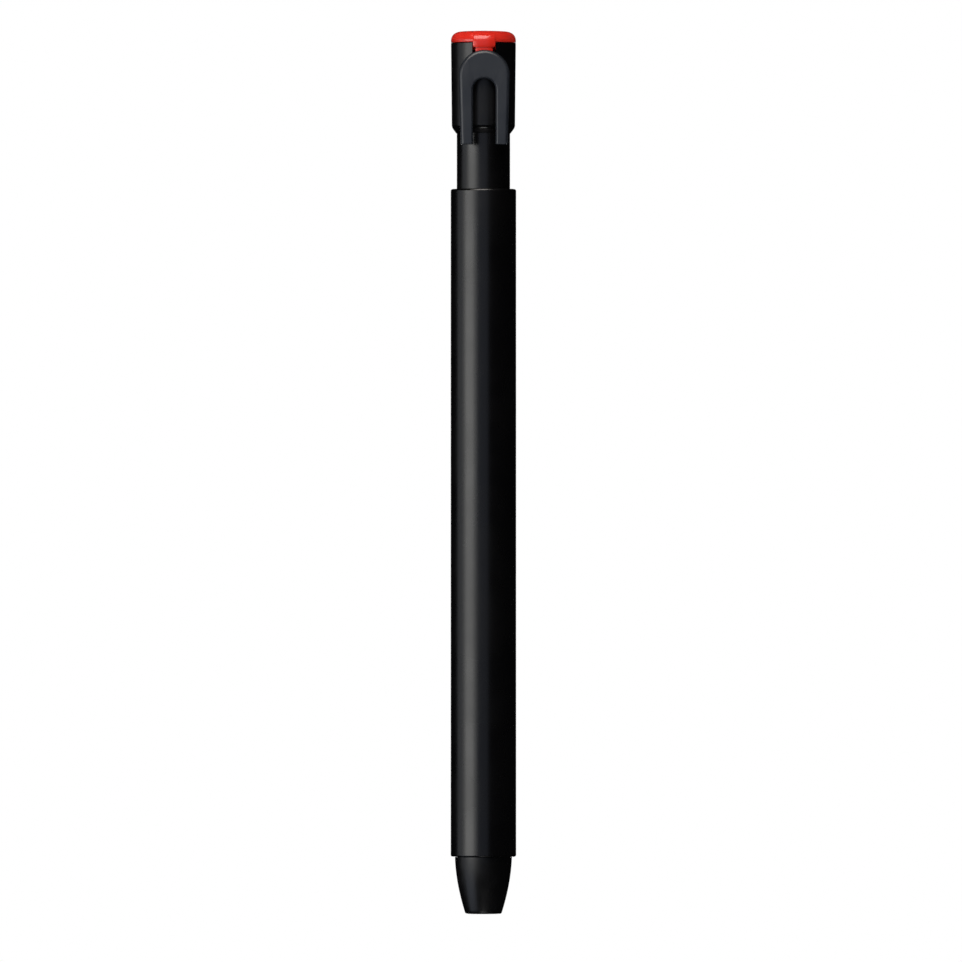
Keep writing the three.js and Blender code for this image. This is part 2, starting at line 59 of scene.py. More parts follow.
view_distance = PIXEL_SIZE * PICTURE_PIXELS * LENS / SENSOR
camera_x = VIEW_AIM_X - view_distance * math.sin(VIEW_LEFT)
camera_y = -view_distance * math.cos(VIEW_LEFT)
bpy.ops.object.select_all(action="DESELECT")
bpy.ops.object.camera_add(
    location=(camera_x * MM, camera_y * MM, VIEW_HEIGHT * MM),
    rotation=(math.pi / 2, 0, -VIEW_LEFT),
)
camera = bpy.context.object
camera.data.lens = LENS
camera.data.sensor_width = SENSOR
bpy.context.scene.camera = camera
bpy.context.scene.view_settings.view_transform = "Standard"

# Barrel: one long injection moulded tube of black ABS, semi-gloss. Inside it has a rib that stops
# the sleeve, a snap groove and a counterbore for the nose. Its outer end edges are rounded.
BARREL_RADIUS = 5.0
BARREL_FOOT = 8.7
BARREL_TOP = 110.7
BARREL_BORE = 4.29
BARREL_LOWER_BORE = 4.0
BARREL_RIB_BORE = 3.65
BARREL_RIB_FOOT = 30.75
BARREL_RIB_TOP = 32.25
BARREL_GROOVE_HEIGHT = 12.4
BARREL_GROOVE = 0.3
BARREL_COUNTERBORE = 4.41
BARREL_COUNTERBORE_TOP = 9.7
BARREL_END_ROUND = 0.3
BARREL_BORE_EDGE = 0.06

ROUND_SIDES = 128
SAME_PLACE = 0.002 * MM
SHARP_EDGE = math.radians(32)
CREASE = math.radians(48)


def start_circle(name, sides, radius, place, tilt=(0, 0, 0)):
    """Adds a named circle with its place in its mesh, and opens it for editing, all selected."""
    bpy.ops.object.select_all(action="DESELECT")
    bpy.ops.mesh.primitive_circle_add(
        vertices=sides, radius=radius * MM, location=[c * MM for c in place], rotation=tilt
    )
    piece = bpy.context.object
    piece.name = name
    piece.data.name = name
    bpy.ops.object.transform_apply(location=True, rotation=True, scale=True)
    bpy.ops.object.mode_set(mode="EDIT")
    bpy.ops.mesh.select_all(action="SELECT")
    return piece


def close_up():
    """Merges the seams of the piece being edited, fills its open ends and turns its faces outwards."""
    bpy.ops.mesh.select_all(action="SELECT")
    bpy.ops.mesh.remove_doubles(threshold=SAME_PLACE)
    bpy.ops.mesh.fill_holes(sides=0)
    bpy.ops.mesh.normals_make_consistent(inside=False)
    bpy.ops.object.mode_set(mode="OBJECT")


def turned(name, outline, closed=True):
    """Turns an outline of radius and height: a circle is extruded and resized from point to point."""
    radius, height = outline[0]
    piece = start_circle(name, ROUND_SIDES, radius, (0, 0, height))
    for next_radius, next_height in outline[1:] + (outline[:1] if closed else []):
        rise = (next_height - height) * MM
        growth = next_radius / radius
        bpy.ops.mesh.extrude_region_move(TRANSFORM_OT_translate={"value": (0, 0, rise)})
        bpy.ops.transform.resize(value=(growth, growth, 1), center_override=(0, 0, next_height * MM))
        radius, height = next_radius, next_height
    close_up()
    return piece


def round_ring(piece, radius, height, width, segments=4):
    """Rounds the edge that runs round a turned piece at this radius and height."""
    bpy.ops.object.mode_set(mode="EDIT")
    bpy.ops.mesh.select_mode(type="EDGE")
    bpy.ops.mesh.select_all(action="DESELECT")
    for edge in bmesh.from_edit_mesh(piece.data).edges:
        places = [(math.hypot(v.co.x, v.co.y), v.co.z) for v in edge.verts]
        on_radius = all(abs(r - radius * MM) < SAME_PLACE for r, z in places)
        on_height = all(abs(z - height * MM) < SAME_PLACE for r, z in places)
        edge.select_set(on_radius and on_height)
    bpy.ops.mesh.bevel(offset=width * MM, segments=segments, affect="EDGES")
    bpy.ops.object.mode_set(mode="OBJECT")


def break_edges(piece, width, segments=2):
    """Rounds every edge that is still sharp."""
    bpy.context.view_layer.objects.active = piece
    bevel = piece.modifiers.new("Broken edges", "BEVEL")
    bevel.width = width * MM
    bevel.segments = segments
    bevel.limit_method = "ANGLE"
    bevel.angle_limit = SHARP_EDGE
    bpy.ops.object.modifier_apply(modifier=bevel.name)


def shade(piece):
    """Smooths the shading over rounded edges and lets the wide faces keep their own direction."""
    bpy.ops.object.select_all(action="DESELECT")
    piece.select_set(True)
    bpy.context.view_layer.objects.active = piece
    bpy.ops.object.shade_smooth_by_angle(angle=CREASE)
    even = piece.modifiers.new("Even shading", "WEIGHTED_NORMAL")
    even.keep_sharp = True
    bpy.ops.object.modifier_apply(modifier=even.name)


def linear(hex_colour):
    """An sRGB hex colour as the linear colour that a shader takes."""
    levels = [int(hex_colour[i : i + 2], 16) / 255 for i in (1, 3, 5)]
    return [c / 12.92 if c <= 0.04045 else ((c + 0.055) / 1.055) ** 2.4 for c in levels] + [1]


def set_sockets(tree, node, sockets):
    """Gives each named socket of a node a value or another node's output."""
    for key, value in sockets.items():
        if isinstance(value, bpy.types.NodeSocket):
            tree.links.new(value, node.inputs[key])
        else:
            node.inputs[key].default_value = value


def add(tree, kind, sockets, **settings):
    """Adds a node with its settings and links."""
    made = tree.nodes.new(kind)
    for key, value in settings.items():
        setattr(made, key, value)
    set_sockets(tree, made, sockets)
    return made


def bare_material(name):
    """A new material, its nodes, and the coordinates that place patterns on the piece."""
    material = bpy.data.materials.new(name)
    material.use_nodes = True
    tree = material.node_tree
    return material, tree, add(tree, "ShaderNodeTexCoord", {}).outputs["Object"]


# Handling: the span of its noise over which gloss and colour change, and its share of the roughness.
TOUCH_GLOSS_SPAN = (0.35, 0.7)
TOUCH_BLOOM_SPAN = (0.4, 0.8)
TOUCH_ROUGHNESS = (0.9, 1.15)
PLASTIC_IOR = 1.57


def moulded(name, colour, bloom, roughness, grain, grain_depth, handling):
    """A moulded plastic: pits from the tool's skin, and patches dulled and greyed by handling.

    The pits are some tenths of a millimetre wide, coarser than life, so that they show at all.
    """
    material, tree, place = bare_material(name)
    pits = add(tree, "ShaderNodeTexNoise", {"Vector": place, "Scale": 1 / (grain * MM), "Detail": 3})
    bump = add(
        tree,
        "ShaderNodeBump",
        {"Height": pits.outputs["Fac"], "Distance": grain_depth * MM, "Strength": 1},
    )
    touch = add(
        tree, "ShaderNodeTexNoise", {"Vector": place, "Scale": 1 / (handling * MM), "Detail": 2}
    )
    gloss = add(
        tree,
        "ShaderNodeMapRange",
        {
            "Value": touch.outputs["Fac"],
            "From Min": TOUCH_GLOSS_SPAN[0],
            "From Max": TOUCH_GLOSS_SPAN[1],
            "To Min": roughness * TOUCH_ROUGHNESS[0],
            "To Max": roughness * TOUCH_ROUGHNESS[1],
        },
    )
    tone = add(tree, "ShaderNodeValToRGB", {"Fac": touch.outputs["Fac"]})
    for stop, position, tint in zip(tone.color_ramp.elements, TOUCH_BLOOM_SPAN, (colour, bloom)):
        stop.position = position
        stop.color = linear(tint)
    set_sockets(
        tree,
        tree.nodes["Principled BSDF"],
        {
            "Base Color": tone.outputs["Color"],
            "Roughness": gloss.outputs["Result"],
            "Normal": bump.outputs["Normal"],
            "IOR": PLASTIC_IOR,
        },
    )
    return material


barrel = turned(
    "barrel_tube",
    [
        (BARREL_COUNTERBORE, BARREL_FOOT),
        (BARREL_RADIUS, BARREL_FOOT),
        (BARREL_RADIUS, BARREL_TOP),
        (BARREL_BORE, BARREL_TOP),
        (BARREL_BORE, BARREL_RIB_TOP),
        (BARREL_RIB_BORE, BARREL_RIB_TOP),
        (BARREL_RIB_BORE, BARREL_RIB_FOOT),
        (BARREL_LOWER_BORE, BARREL_RIB_FOOT),
        (BARREL_LOWER_BORE, BARREL_GROOVE_HEIGHT + 2 * BARREL_GROOVE),
        (BARREL_LOWER_BORE + BARREL_GROOVE, BARREL_GROOVE_HEIGHT + BARREL_GROOVE),
        (BARREL_LOWER_BORE + BARREL_GROOVE, BARREL_GROOVE_HEIGHT - BARREL_GROOVE),
        (BARREL_LOWER_BORE, BARREL_GROOVE_HEIGHT - 2 * BARREL_GROOVE),
        (BARREL_LOWER_BORE, BARREL_COUNTERBORE_TOP),
        (BARREL_COUNTERBORE, BARREL_COUNTERBORE_TOP),
    ],
)
round_ring(barrel, BARREL_RADIUS, BARREL_FOOT, BARREL_END_ROUND)
round_ring(barrel, BARREL_RADIUS, BARREL_TOP, BARREL_END_ROUND)
break_edges(barrel, BARREL_BORE_EDGE)
shade(barrel)

# Semi-gloss ABS: deep black, with a soft-edged band of shine along it and faint duller patches.
semi_gloss = moulded(
    "Black ABS, semi-gloss", "#050506", "#09090a",
    roughness=0.27, grain=0.3, grain_depth=0.0004, handling=9,
)
barrel.data.materials.append(semi_gloss)
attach(barrel, "barrel")
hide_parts("barrel")

# Chuck sleeve: a grey ABS bush pressed up into the barrel against its rib. It guides the chuck's
# stem, and its lower chamber holds the clutch ring. It is a plain satin moulding.
SLEEVE_FOOT = 17.05
SLEEVE_TOP = 30.45
SLEEVE_RADIUS = 3.95
SLEEVE_CHAMBER = 3.5
SLEEVE_CHAMBER_TOP = 22.95
SLEEVE_GUIDE = 2.75
SLEEVE_EDGE = 0.08

sleeve = turned(
    "sleeve_bush",
    [
        (SLEEVE_CHAMBER, SLEEVE_FOOT),
        (SLEEVE_RADIUS, SLEEVE_FOOT),
        (SLEEVE_RADIUS, SLEEVE_TOP),
        (SLEEVE_GUIDE, SLEEVE_TOP),
        (SLEEVE_GUIDE, SLEEVE_CHAMBER_TOP),
        (SLEEVE_CHAMBER, SLEEVE_CHAMBER_TOP),
    ],
)
break_edges(sleeve, SLEEVE_EDGE)
shade(sleeve)

# Satin grey ABS: an etched tool leaves an even, dull skin.
grey = moulded(
    "Grey ABS, satin", "#8d9195", "#979b9f",
    roughness=0.45, grain=0.3, grain_depth=0.001, handling=6,
)
sleeve.data.materials.append(grey)
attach(sleeve, "barrel")
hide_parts("chuck_sleeve")

# Chuck: a long sleeve moulded in natural acetal, slit at its foot into three jaws with a flared
# head. It holds the eraser, and the feed tube is pushed over its tail.
CHUCK_FOOT = 18.05
CHUCK_TOP = 57.45
CHUCK_LIP_RADIUS = 2.95
CHUCK_LIP_TOP = 19.05
CHUCK_TAPER_TOP = 22.65
CHUCK_STEM = 2.65
CHUCK_BORE = 2.2
CHUCK_GRIP = 1.94
CHUCK_GRIP_TOP = 22.05
CHUCK_EDGE = 0.06
CHUCK_JAWS = 3
CHUCK_SLIT = 0.5
CHUCK_SLIT_TOP = 36.05
CUT_CLEAR = 1


def box(name, low, high):
    """A block between two corners, for cutting and joining."""
    bpy.ops.object.select_all(action="DESELECT")
    centre = [(a + b) / 2 * MM for a, b in zip(low, high)]
    size = [(b - a) * MM for a, b in zip(low, high)]
    bpy.ops.mesh.primitive_cube_add(size=1, location=centre, scale=size)
    bpy.context.object.name = name
    bpy.ops.object.transform_apply(location=True, rotation=True, scale=True)
    return bpy.context.object


def combine(piece, tool, operation):
    """Cuts, joins or trims a piece with a tool, which is used up, and merges the slivers left."""
    bpy.ops.object.select_all(action="DESELECT")
    bpy.context.view_layer.objects.active = piece
    change = piece.modifiers.new("Combined", "BOOLEAN")
    change.operation = operation
    change.solver = "EXACT"
    change.object = tool
    bpy.ops.object.modifier_apply(modifier=change.name)
    bpy.data.objects.remove(tool)
    bpy.ops.object.mode_set(mode="EDIT")
    bpy.ops.mesh.select_all(action="SELECT")
    bpy.ops.mesh.remove_doubles(threshold=SAME_PLACE)
    bpy.ops.mesh.dissolve_degenerate(threshold=SAME_PLACE)
    bpy.ops.object.mode_set(mode="OBJECT")


chuck = turned(
    "chuck_jaws",
    [
        (CHUCK_GRIP, CHUCK_FOOT),
        (CHUCK_LIP_RADIUS, CHUCK_FOOT),
        (CHUCK_LIP_RADIUS, CHUCK_LIP_TOP),
        (CHUCK_STEM, CHUCK_TAPER_TOP),
        (CHUCK_STEM, CHUCK_TOP),
        (CHUCK_BORE, CHUCK_TOP),
        (CHUCK_BORE, CHUCK_GRIP_TOP + CHUCK_BORE - CHUCK_GRIP),
        (CHUCK_GRIP, CHUCK_GRIP_TOP),
    ],
)
break_edges(chuck, CHUCK_EDGE)
for jaw in range(CHUCK_JAWS):
    slit = box(
        "slit",
        (0, -CHUCK_SLIT / 2, CHUCK_FOOT - CUT_CLEAR),
        (2 * CHUCK_LIP_RADIUS, CHUCK_SLIT / 2, CHUCK_SLIT_TOP),
    )
    slit.rotation_euler.z = math.pi / 2 + 2 * math.pi * jaw / CHUCK_JAWS
    bpy.context.view_layer.update()
    combine(chuck, slit, "DIFFERENCE")
shade(chuck)

# Natural acetal: undyed, so it is ivory white, with a waxy skin.
acetal = moulded(
    "Natural acetal, satin", "#e4e1d6", "#ece9df",
    roughness=0.42, grain=0.25, grain_depth=0.0008, handling=5,
)
chuck.data.materials.append(acetal)
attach(chuck, "push_unit")
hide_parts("chuck")

# Clutch ring: a brass collar turned on a lathe, with a tapered bore that closes the jaws when the
# spring draws them up into it. Fine tool marks run round it.
RING_FOOT = 19.05
RING_TOP = 22.65
RING_RADIUS = 3.4
RING_BORE_FOOT = 3.0
RING_BORE_TOP = 2.7
RING_EDGE = 0.08
RING_LINE = 0.12
RING_LINE_DEPTH = 0.002
RING_LINE_SQUEEZE = 0.02

ring = turned(
    "clutch_collar",
    [
        (RING_BORE_FOOT, RING_FOOT),
        (RING_RADIUS, RING_FOOT),
        (RING_RADIUS, RING_TOP),
        (RING_BORE_TOP, RING_TOP),
    ],
)
break_edges(ring, RING_EDGE, segments=3)
shade(ring)

# Turned brass: the tool leaves a line each 0.12 mm along the axis, which streaks the shine.
brass, tree, place = bare_material("Turned brass")
squeezed = add(
    tree,
    "ShaderNodeMapping",
    {"Vector": place, "Scale": (RING_LINE_SQUEEZE, RING_LINE_SQUEEZE, 1)},
)
lines = add(
    tree,
    "ShaderNodeTexNoise",
    {"Vector": squeezed.outputs["Vector"], "Scale": 1 / (RING_LINE * MM), "Detail": 2},
)
gloss = add(
    tree, "ShaderNodeMapRange", {"Value": lines.outputs["Fac"], "To Min": 0.16, "To Max": 0.38}
)
bump = add(
    tree,
    "ShaderNodeBump",
    {"Height": lines.outputs["Fac"], "Distance": RING_LINE_DEPTH * MM, "Strength": 1},
)
set_sockets(
    tree,
    tree.nodes["Principled BSDF"],
    {
        "Base Color": linear("#d9b466"),
        "Metallic": 1,
        "Roughness": gloss.outputs["Result"],
        "Normal": bump.outputs["Normal"],
    },
)
ring.data.materials.append(brass)
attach(ring, "clutch_ring")
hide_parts("clutch_ring")

# Return spring: nine turns of drawn stainless wire between the sleeve and the feed tube, closer at both
# ends, with its foot on the sleeve. In the pen it shortens as the head is pressed; here it is built at
# rest and rides with the barrel.
SPRING_WIRE = 0.55
SPRING_RADIUS = 3.175
SPRING_FOOT = 30.75
SPRING_TOP = 49.15
SPRING_TURNS = 9
SPRING_END_PITCH = 1.0
SPRING_STEPS = 28
SPRING_WIRE_SIDES = 14
SPRING_CUT_EDGE = 0.05
SPRING_MARK = 0.4

spring = start_circle(
    "spring_coil",
    SPRING_WIRE_SIDES,
    SPRING_WIRE / 2,
    (SPRING_RADIUS, 0, SPRING_FOOT + SPRING_WIRE / 2),
    tilt=(math.pi / 2, 0, 0),
)
spring_rise = SPRING_TOP - SPRING_FOOT - SPRING_WIRE
spring_pitch = (spring_rise - 2 * SPRING_END_PITCH) / (SPRING_TURNS - 2)
for step in range(SPRING_TURNS * SPRING_STEPS):
    in_end_turn = step < SPRING_STEPS or step >= (SPRING_TURNS - 1) * SPRING_STEPS
    pitch = SPRING_END_PITCH if in_end_turn else spring_pitch
    bpy.ops.mesh.extrude_region_move(
        TRANSFORM_OT_translate={"value": (0, 0, pitch / SPRING_STEPS * MM)}
    )
    bpy.ops.transform.rotate(
        value=-2 * math.pi / SPRING_STEPS, orient_axis="Z", center_override=(0, 0, 0)
    )
close_up()
break_edges(spring, SPRING_CUT_EDGE)
shade(spring)

# Drawn steel: bright, with a faint mottle of die marks about 0.4 mm long.
steel, tree, place = bare_material("Drawn stainless wire")
marks = add(
    tree, "ShaderNodeTexNoise", {"Vector": place, "Scale": 1 / (SPRING_MARK * MM), "Detail": 4}
)
gloss = add(
    tree, "ShaderNodeMapRange", {"Value": marks.outputs["Fac"], "To Min": 0.14, "To Max": 0.36}
)
set_sockets(
    tree,
    tree.nodes["Principled BSDF"],
    {"Base Color": linear("#c9ccd0"), "Metallic": 1, "Roughness": gloss.outputs["Result"]},
)
spring.data.materials.append(steel)
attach(spring, "barrel")
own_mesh(spring)
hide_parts("return_spring")

# Feed tube: a milky polypropylene pipe that stores the eraser. It is socketed over the chuck's
# tail, stands on the spring, and is held in the neck above.
FEED_FOOT = 49.45
FEED_TOP = 127.48
FEED_RADIUS = 3.4
FEED_BORE = 2.2
FEED_SOCKET = 2.7
FEED_SOCKET_TOP = 57.75
FEED_EDGE = 0.08
FEED_GLOW = 0.3
FEED_GLOW_DEPTH = 0.6

feed = turned(
    "feed_pipe",
    [
        (FEED_SOCKET, FEED_FOOT),
        (FEED_RADIUS, FEED_FOOT),
        (FEED_RADIUS, FEED_TOP),
        (FEED_BORE, FEED_TOP),
        (FEED_BORE, FEED_SOCKET_TOP),
        (FEED_SOCKET, FEED_SOCKET_TOP),
    ],
)
break_edges(feed, FEED_EDGE)
shade(feed)

# Polypropylene: cloudy, so some light goes in and glows through the wall before it comes back.
milky = moulded(
    "Milky polypropylene", "#d6dad9", "#e0e3e2",
    roughness=0.38, grain=0.3, grain_depth=0.0008, handling=7,
)
set_sockets(
    milky.node_tree,
    milky.node_tree.nodes["Principled BSDF"],
    {"Subsurface Weight": FEED_GLOW, "Subsurface Scale": FEED_GLOW_DEPTH * MM},
)
feed.data.materials.append(milky)
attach(feed, "push_unit")
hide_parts("feed_tube")

# Keeper ring: a soft grey silicone ring in the nose with two lips, which holds the eraser while
# the jaws are open. It is matt and picks up crumbs.
KEEPER_FOOT = 9.25
KEEPER_TOP = 11.65
KEEPER_RADIUS = 2.84
KEEPER_LIP = 1.94
KEEPER_WAIST = 2.19
KEEPER_EDGE = 0.12

keeper = turned(
    "keeper_lips",
    [
        (KEEPER_LIP, KEEPER_FOOT),
        (KEEPER_RADIUS, KEEPER_FOOT),
        (KEEPER_RADIUS, KEEPER_TOP),
        (KEEPER_LIP, KEEPER_TOP),
        (KEEPER_WAIST, (KEEPER_FOOT + KEEPER_TOP) / 2),
    ],
)
break_edges(keeper, KEEPER_EDGE, segments=3)
shade(keeper)

# Silicone: dead matt, with a dusty bloom in small patches.
silicone = moulded(
    "Grey silicone rubber", "#696c70", "#83868a",
    roughness=0.72, grain=0.2, grain_depth=0.002, handling=1.5,
)
keeper.data.materials.append(silicone)
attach(keeper, "barrel")
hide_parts("keeper_ring")

# Nose cone: a tapered black ABS shell with a satin skin. Its spigot and snap bead go up into the
# barrel, and its stepped bore holds the keeper ring and leaves room for the jaws.
NOSE_MOUTH_BORE = 2.1
NOSE_MOUTH = 2.8
NOSE_MOUTH_EDGE = 0.15
NOSE_SWELL = (4.22, 4.6)
NOSE_SWELL_STEPS = 20
NOSE_RADIUS = 4.36
NOSE_LENGTH = 8.7
NOSE_COLLAR_TOP = 9.4
NOSE_SPIGOT = 3.95
NOSE_SPIGOT_TOP = 16.75
NOSE_BEAD = 0.2
NOSE_BEAD_HEIGHT = 12.4
NOSE_JAW_ROOM = 3.15
NOSE_KEEPER_SEAT = 2.89
NOSE_KEEPER_FOOT = 9.2
NOSE_KEEPER_TOP = 11.95
NOSE_EDGE = 0.06


def curve(start, control, end, steps):
    """Points along a quadratic curve, without its start."""
    points = []
    for i in range(1, steps + 1):
        t = i / steps
        weights = ((1 - t) ** 2, 2 * t * (1 - t), t**2)
        points.append(
            tuple(sum(w * p[k] for w, p in zip(weights, (start, control, end))) for k in (0, 1))
        )
    return points


nose = turned(
    "nose_shell",
    [
        (NOSE_MOUTH_BORE, 0),
        (NOSE_MOUTH - NOSE_MOUTH_EDGE, 0),
        (NOSE_MOUTH, NOSE_MOUTH_EDGE),
        *curve(
            (NOSE_MOUTH, NOSE_MOUTH_EDGE),
            NOSE_SWELL,
            (NOSE_RADIUS, NOSE_LENGTH),
            NOSE_SWELL_STEPS,
        ),
        (NOSE_RADIUS, NOSE_COLLAR_TOP),
        (NOSE_SPIGOT, NOSE_COLLAR_TOP),
        (NOSE_SPIGOT, NOSE_BEAD_HEIGHT - 2 * NOSE_BEAD),
        (NOSE_SPIGOT + NOSE_BEAD, NOSE_BEAD_HEIGHT - NOSE_BEAD),
        (NOSE_SPIGOT + NOSE_BEAD, NOSE_BEAD_HEIGHT + NOSE_BEAD),
        (NOSE_SPIGOT, NOSE_BEAD_HEIGHT + 2 * NOSE_BEAD),
        (NOSE_SPIGOT, NOSE_SPIGOT_TOP),
        (NOSE_JAW_ROOM, NOSE_SPIGOT_TOP),
        (NOSE_JAW_ROOM, NOSE_KEEPER_TOP),
        (NOSE_KEEPER_SEAT, NOSE_KEEPER_TOP),
        (NOSE_KEEPER_SEAT, NOSE_KEEPER_FOOT),
        (NOSE_MOUTH_BORE, NOSE_KEEPER_FOOT),
    ],
)
break_edges(nose, NOSE_EDGE, segments=3)
shade(nose)

# Satin ABS: finer, deeper pits than the barrel's spread its shine wider.
satin = moulded(
    "Black ABS, satin", "#060607", "#0a0a0b",
    roughness=0.34, grain=0.25, grain_depth=0.0008, handling=4,
)
nose.data.materials.append(satin)
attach(nose, "barrel")
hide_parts("nose_cone")

# Eraser: an extruded rod of soft white vinyl, cut square, with its edges broken by rubbing.
# It is level with the nose's mouth and slides through the keeper ring and the chuck.
ERASER_RADIUS = 1.9
ERASER_LENGTH = 70
ERASER_EDGE = 0.25
ERASER_EDGE_STEPS = 5
ERASER_GRAIN = 0.35
ERASER_LINE = 0.3
ERASER_LINE_STRETCH = 0.01
ERASER_RELIEF = 0.006
ERASER_GLOW_DEPTH = 0.5
ERASER_TONE_SPAN = (0.3, 0.7)
ERASER_TONES = ("#eeece5", "#f6f5f1")

eraser = turned("eraser_rod", [(ERASER_RADIUS, 0), (ERASER_RADIUS, ERASER_LENGTH)], closed=False)
round_ring(eraser, ERASER_RADIUS, 0, ERASER_EDGE, ERASER_EDGE_STEPS)
round_ring(eraser, ERASER_RADIUS, ERASER_LENGTH, ERASER_EDGE, ERASER_EDGE_STEPS)
shade(eraser)

# Vinyl: chalky and soft, a little see-through at its edges, with grains of filler about 0.35 mm
# across and faint lines that the extruder's die draws along it.
vinyl, tree, place = bare_material("White eraser vinyl")
grains = add(
    tree, "ShaderNodeTexNoise", {"Vector": place, "Scale": 1 / (ERASER_GRAIN * MM), "Detail": 4}
)
stretched = add(tree, "ShaderNodeMapping", {"Vector": place, "Scale": (1, 1, ERASER_LINE_STRETCH)})
draw_lines = add(
    tree,
    "ShaderNodeTexNoise",
    {"Vector": stretched.outputs["Vector"], "Scale": 1 / (ERASER_LINE * MM), "Detail": 2},
)
relief = add(
    tree,
    "ShaderNodeMath",
    {0: grains.outputs["Fac"], 1: draw_lines.outputs["Fac"]},
    operation="ADD",
)
bump = add(
    tree,
    "ShaderNodeBump",
    {"Height": relief.outputs["Value"], "Distance": ERASER_RELIEF * MM, "Strength": 1},
)
tone = add(tree, "ShaderNodeValToRGB", {"Fac": grains.outputs["Fac"]})
for stop, position, tint in zip(tone.color_ramp.elements, ERASER_TONE_SPAN, ERASER_TONES):
    stop.position = position
    stop.color = linear(tint)
set_sockets(
    tree,
    tree.nodes["Principled BSDF"],
    {
        "Base Color": tone.outputs["Color"],
        "Normal": bump.outputs["Normal"],
        "Roughness": 0.62,
        "IOR": 1.5,
        "Subsurface Weight": 0.25,
        "Subsurface Scale": ERASER_GLOW_DEPTH * MM,
    },
)
eraser.data.materials.append(vinyl)
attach(eraser, "eraser_stick")
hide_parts("eraser_stick")

# Push tube: the narrower black ABS neck that shows between barrel and head. It slides in the
# barrel, so it is rubbed brighter than the rest.
NECK_FOOT = 90.7
NECK_TOP = 127.48
NECK_RADIUS = 4.07
NECK_BORE = 3.45
NECK_EDGE = 0.1
NECK_SCUFF = 0.25
NECK_SCUFF_STRETCH = 0.015
NECK_SCUFF_DEPTH = 0.0006

neck = turned(
    "neck_tube",
    [
        (NECK_BORE, NECK_FOOT),
        (NECK_RADIUS, NECK_FOOT),
        (NECK_RADIUS, NECK_TOP),
        (NECK_BORE, NECK_TOP),
    ],
)
break_edges(neck, NECK_EDGE)
shade(neck)

# Rubbed ABS: sliding leaves fine lines along the axis, 0.25 mm apart as drawn.
rubbed = moulded(
    "Black ABS, rubbed bright", "#050506", "#09090a",
    roughness=0.27, grain=0.3, grain_depth=0.0003, handling=7,
)
tree = rubbed.node_tree
place = add(tree, "ShaderNodeTexCoord", {}).outputs["Object"]
stretched = add(tree, "ShaderNodeMapping", {"Vector": place, "Scale": (1, 1, NECK_SCUFF_STRETCH)})
scuffs = add(
    tree,
    "ShaderNodeTexNoise",
    {"Vector": stretched.outputs["Vector"], "Scale": 1 / (NECK_SCUFF * MM), "Detail": 2},
)
bump = add(
    tree,
    "ShaderNodeBump",
    {
        "Height": scuffs.outputs["Fac"],
        "Distance": NECK_SCUFF_DEPTH * MM,
        "Strength": 1,
        "Normal": tree.nodes["Bump"].outputs["Normal"],
    },
)
set_sockets(tree, tree.nodes["Principled BSDF"], {"Normal": bump.outputs["Normal"]})
neck.data.materials.append(rubbed)
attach(neck, "push_unit")
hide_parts("push_tube")

# Head shell: a black ABS cap on the neck, drawn in by a chamfer at its foot. It sits on the neck
# by an inner ledge, and a notch in its rim takes the clip's tenon and the plug's lug.
HEAD_FOOT = 119.2
HEAD_RIM = 133.0
HEAD_BORE = 4.12
HEAD_FOOT_RADIUS = 4.17
HEAD_CHAMFER_TOP = 120.12
HEAD_CHAMFER_ROUND = 0.3
HEAD_CHAMFER_STEPS = 6
HEAD_LOWER_RADIUS = 4.83
HEAD_RIM_RADIUS = 4.958
HEAD_RIM_EDGE = 0.1
HEAD_LEDGE_FOOT = 127.53
HEAD_LEDGE_TOP = 127.98
HEAD_LEDGE_BORE = 3.62
HEAD_NOTCH_WIDTH = 3.64
HEAD_NOTCH_FOOT = 128.03
POLISH_CORE = 0.1
POLISH_REACH = 0.4
POLISH_ROUGHNESS = 0.6

head = turned(
    "head_cap",
    [
        (HEAD_BORE, HEAD_FOOT),
        (HEAD_FOOT_RADIUS, HEAD_FOOT),
        (HEAD_LOWER_RADIUS, HEAD_CHAMFER_TOP),
        (HEAD_RIM_RADIUS, HEAD_RIM),
        (HEAD_BORE, HEAD_RIM),
        (HEAD_BORE, HEAD_LEDGE_TOP),
        (HEAD_LEDGE_BORE, HEAD_LEDGE_TOP),
        (HEAD_LEDGE_BORE, HEAD_LEDGE_FOOT),
        (HEAD_BORE, HEAD_LEDGE_FOOT),
    ],
)
round_ring(head, HEAD_LOWER_RADIUS, HEAD_CHAMFER_TOP, HEAD_CHAMFER_ROUND, HEAD_CHAMFER_STEPS)
round_ring(head, HEAD_RIM_RADIUS, HEAD_RIM, HEAD_RIM_EDGE)
notch = box(
    "notch",
    (-HEAD_NOTCH_WIDTH / 2, -2 * HEAD_RIM_RADIUS, HEAD_NOTCH_FOOT),
    (HEAD_NOTCH_WIDTH / 2, -HEAD_BORE + CUT_CLEAR, HEAD_RIM + CUT_CLEAR),
)
combine(head, notch, "DIFFERENCE")
shade(head)

# Head ABS: duller than the barrel, but thumbs have polished the edge where the chamfer begins.
capped = moulded(
    "Black ABS, head", "#050506", "#09090a",
    roughness=0.3, grain=0.3, grain_depth=0.0004, handling=6,
)
tree = capped.node_tree
place = add(tree, "ShaderNodeTexCoord", {}).outputs["Object"]
parts = add(tree, "ShaderNodeSeparateXYZ", {"Vector": place})
above = add(
    tree,
    "ShaderNodeMath",
    {0: parts.outputs["Z"], 1: HEAD_CHAMFER_TOP * MM},
    operation="SUBTRACT",
)
away = add(tree, "ShaderNodeMath", {0: above.outputs["Value"]}, operation="ABSOLUTE")
polish = add(
    tree,
    "ShaderNodeMapRange",
    {
        "Value": away.outputs["Value"],
        "From Min": POLISH_CORE * MM,
        "From Max": POLISH_REACH * MM,
        "To Min": POLISH_ROUGHNESS,
        "To Max": 1,
    },
)
